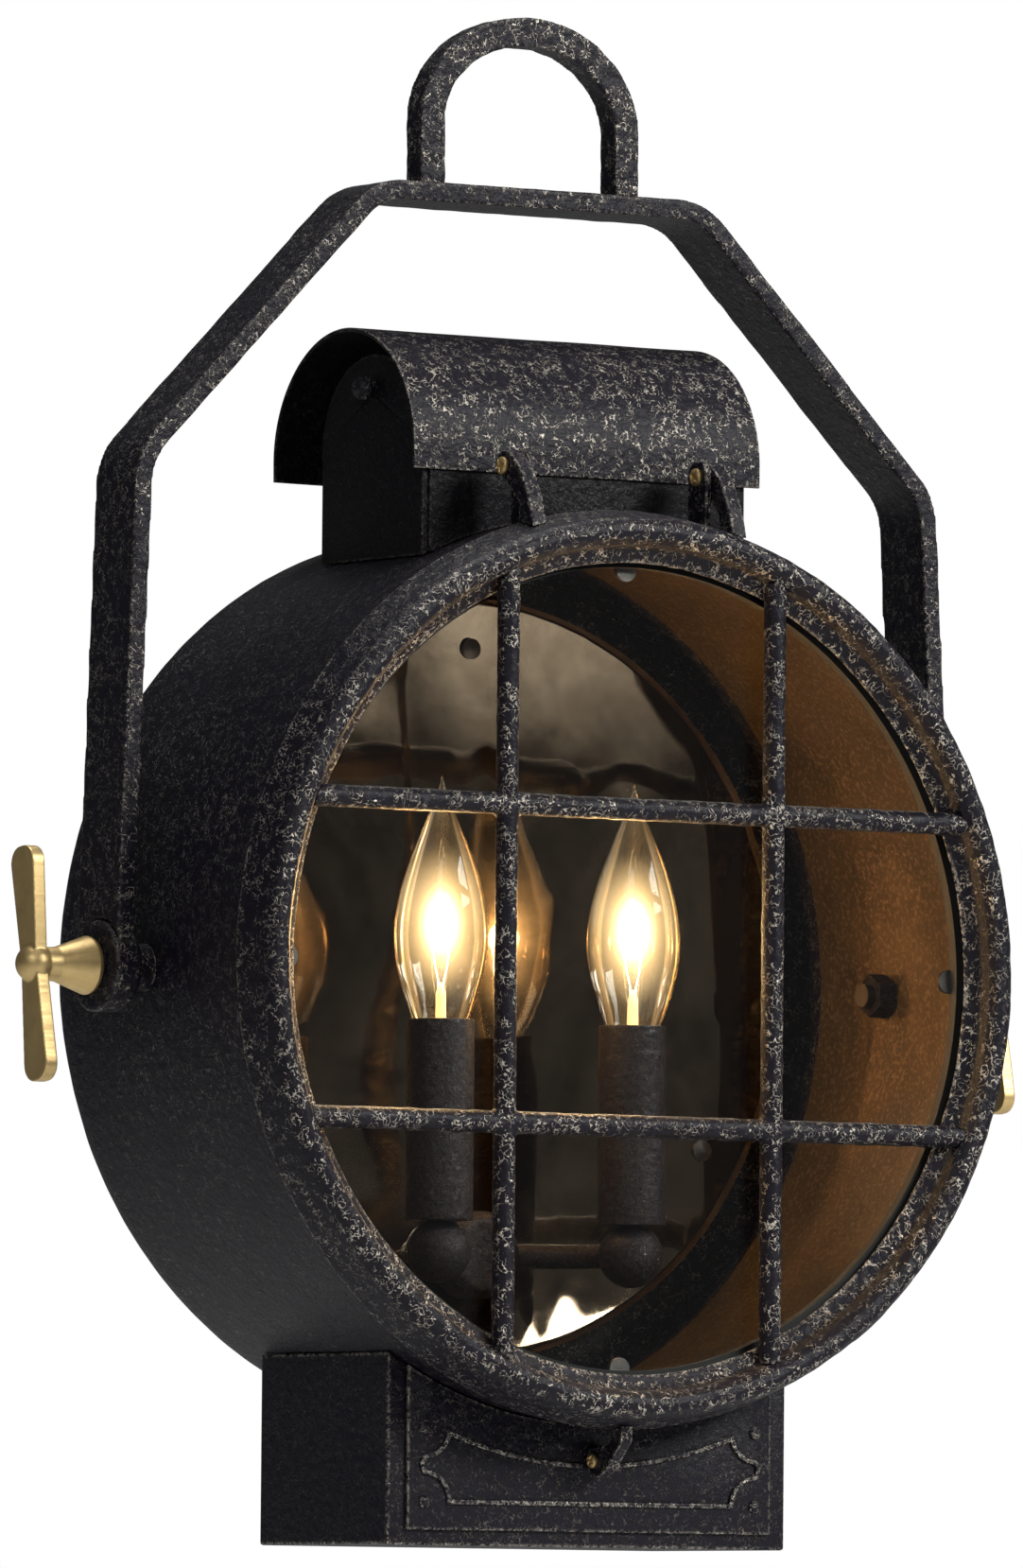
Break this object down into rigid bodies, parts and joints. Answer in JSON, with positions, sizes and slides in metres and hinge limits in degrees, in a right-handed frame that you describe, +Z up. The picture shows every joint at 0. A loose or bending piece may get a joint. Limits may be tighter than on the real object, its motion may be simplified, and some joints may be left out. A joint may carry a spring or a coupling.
{
  "type": "ship lantern",
  "caption": "Round drum lantern for a wall with a barred glass door hinged at the top, a vented hood, a box foot, and a swinging yoke with a carrying loop and wing nuts.",
  "frame": {"origin": "on the drum's axis, in the plane of the wall that the rear plate lies against, halfway between the two wall screws", "axes": "+X to the right facing the door, +Y into the wall, +Z up; the door faces -Y"},
  "size_m": [0.4024, 0.144, 0.5184],
  "materials": {
    "textured_black_paint": "very dark charcoal textured paint, dry-brushed with dull silver on the edges",
    "satin_brass": "satin brushed brass",
    "zinc_steel": "dull zinc-plated steel",
    "black_rubber": "matt black rubber",
    "smoked_mirror": "slightly wavy smoke-brown mirror sheet",
    "clear_glass": "clear polished flat glass",
    "bulb_glass": "clear thin bulb glass",
    "glowing_filament": "glowing warm tungsten",
    "nickel_cap": "nickel-plated screw cap",
    "socket_phenolic": "black moulded socket body"
  },
  "bodies": {
    "housing": {"drum_shell": "textured_black_paint", "wall_plate": "zinc_steel", "plate_screws": "zinc_steel", "wire_grommet": "black_rubber", "mirror_panel": "smoked_mirror", "panel_standoffs": "zinc_steel", "panel_screws": "zinc_steel", "lamp_hub": "textured_black_paint", "arm_ball_left": "textured_black_paint", "arm_ball_right": "textured_black_paint", "lamp_arm_left": "textured_black_paint", "lamp_arm_right": "textured_black_paint", "candle_sleeve_left": "textured_black_paint", "candle_sleeve_right": "textured_black_paint", "bulb_glass_left": "bulb_glass", "bulb_glass_right": "bulb_glass", "filament_left": "glowing_filament", "filament_right": "glowing_filament", "lamp_sockets": "socket_phenolic", "bulb_caps": "nickel_cap", "chimney_wall_front": "textured_black_paint", "chimney_wall_rear": "textured_black_paint", "chimney_cheek_left": "textured_black_paint", "chimney_cheek_right": "textured_black_paint", "vent_hood": "textured_black_paint", "hood_tie_rod": "textured_black_paint", "tie_rod_nuts": "textured_black_paint", "hood_hangers": "textured_black_paint", "base_box": "textured_black_paint", "base_plaque": "textured_black_paint", "plaque_cartouche": "textured_black_paint", "plaque_rivets": "textured_black_paint", "hinge_lug_left": "textured_black_paint", "hinge_lug_right": "textured_black_paint", "hinge_screws": "satin_brass", "latch_lug": "textured_black_paint", "trunnion_studs": "zinc_steel", "trunnion_nuts": "zinc_steel", "trunnion_spacers": "zinc_steel"},
    "door": {"bezel_ring": "textured_black_paint", "door_gasket": "black_rubber", "glass_disc": "clear_glass", "glass_seal": "black_rubber", "glass_clips": "zinc_steel", "clip_screws": "zinc_steel", "bar_vertical_left": "textured_black_paint", "bar_vertical_right": "textured_black_paint", "bar_horizontal_upper": "textured_black_paint", "bar_horizontal_lower": "textured_black_paint", "hinge_ear_left": "textured_black_paint", "hinge_ear_right": "textured_black_paint", "latch_ear": "textured_black_paint", "latch_screw": "satin_brass"},
    "yoke": {"yoke_bar": "textured_black_paint", "yoke_eye_left": "textured_black_paint", "yoke_eye_right": "textured_black_paint", "hanging_loop": "textured_black_paint"},
    "nut_left": {"wing_nut_left": "satin_brass"},
    "nut_right": {"wing_nut_right": "satin_brass"}
  },
  "joints": [
    {"name": "door_hinge", "type": "hinge", "parent": "housing", "child": "door", "pos_m": [0, -0.118, 0.1673], "axis": [-1, 0, 0], "range_deg": [0, 75]},
    {"name": "yoke_pivot", "type": "hinge", "parent": "housing", "child": "yoke", "pos_m": [0, -0.067, -0.0025], "axis": [1, 0, 0], "range_deg": [-9, 26]},
    {"name": "wing_nut_left_turn", "type": "hinge", "parent": "housing", "child": "nut_left", "pos_m": [-0.172, -0.067, -0.0025], "axis": [-1, 0, 0], "continuous": true},
    {"name": "wing_nut_right_turn", "type": "hinge", "parent": "housing", "child": "nut_right", "pos_m": [0.172, -0.067, -0.0025], "axis": [1, 0, 0], "continuous": true}
  ]
}
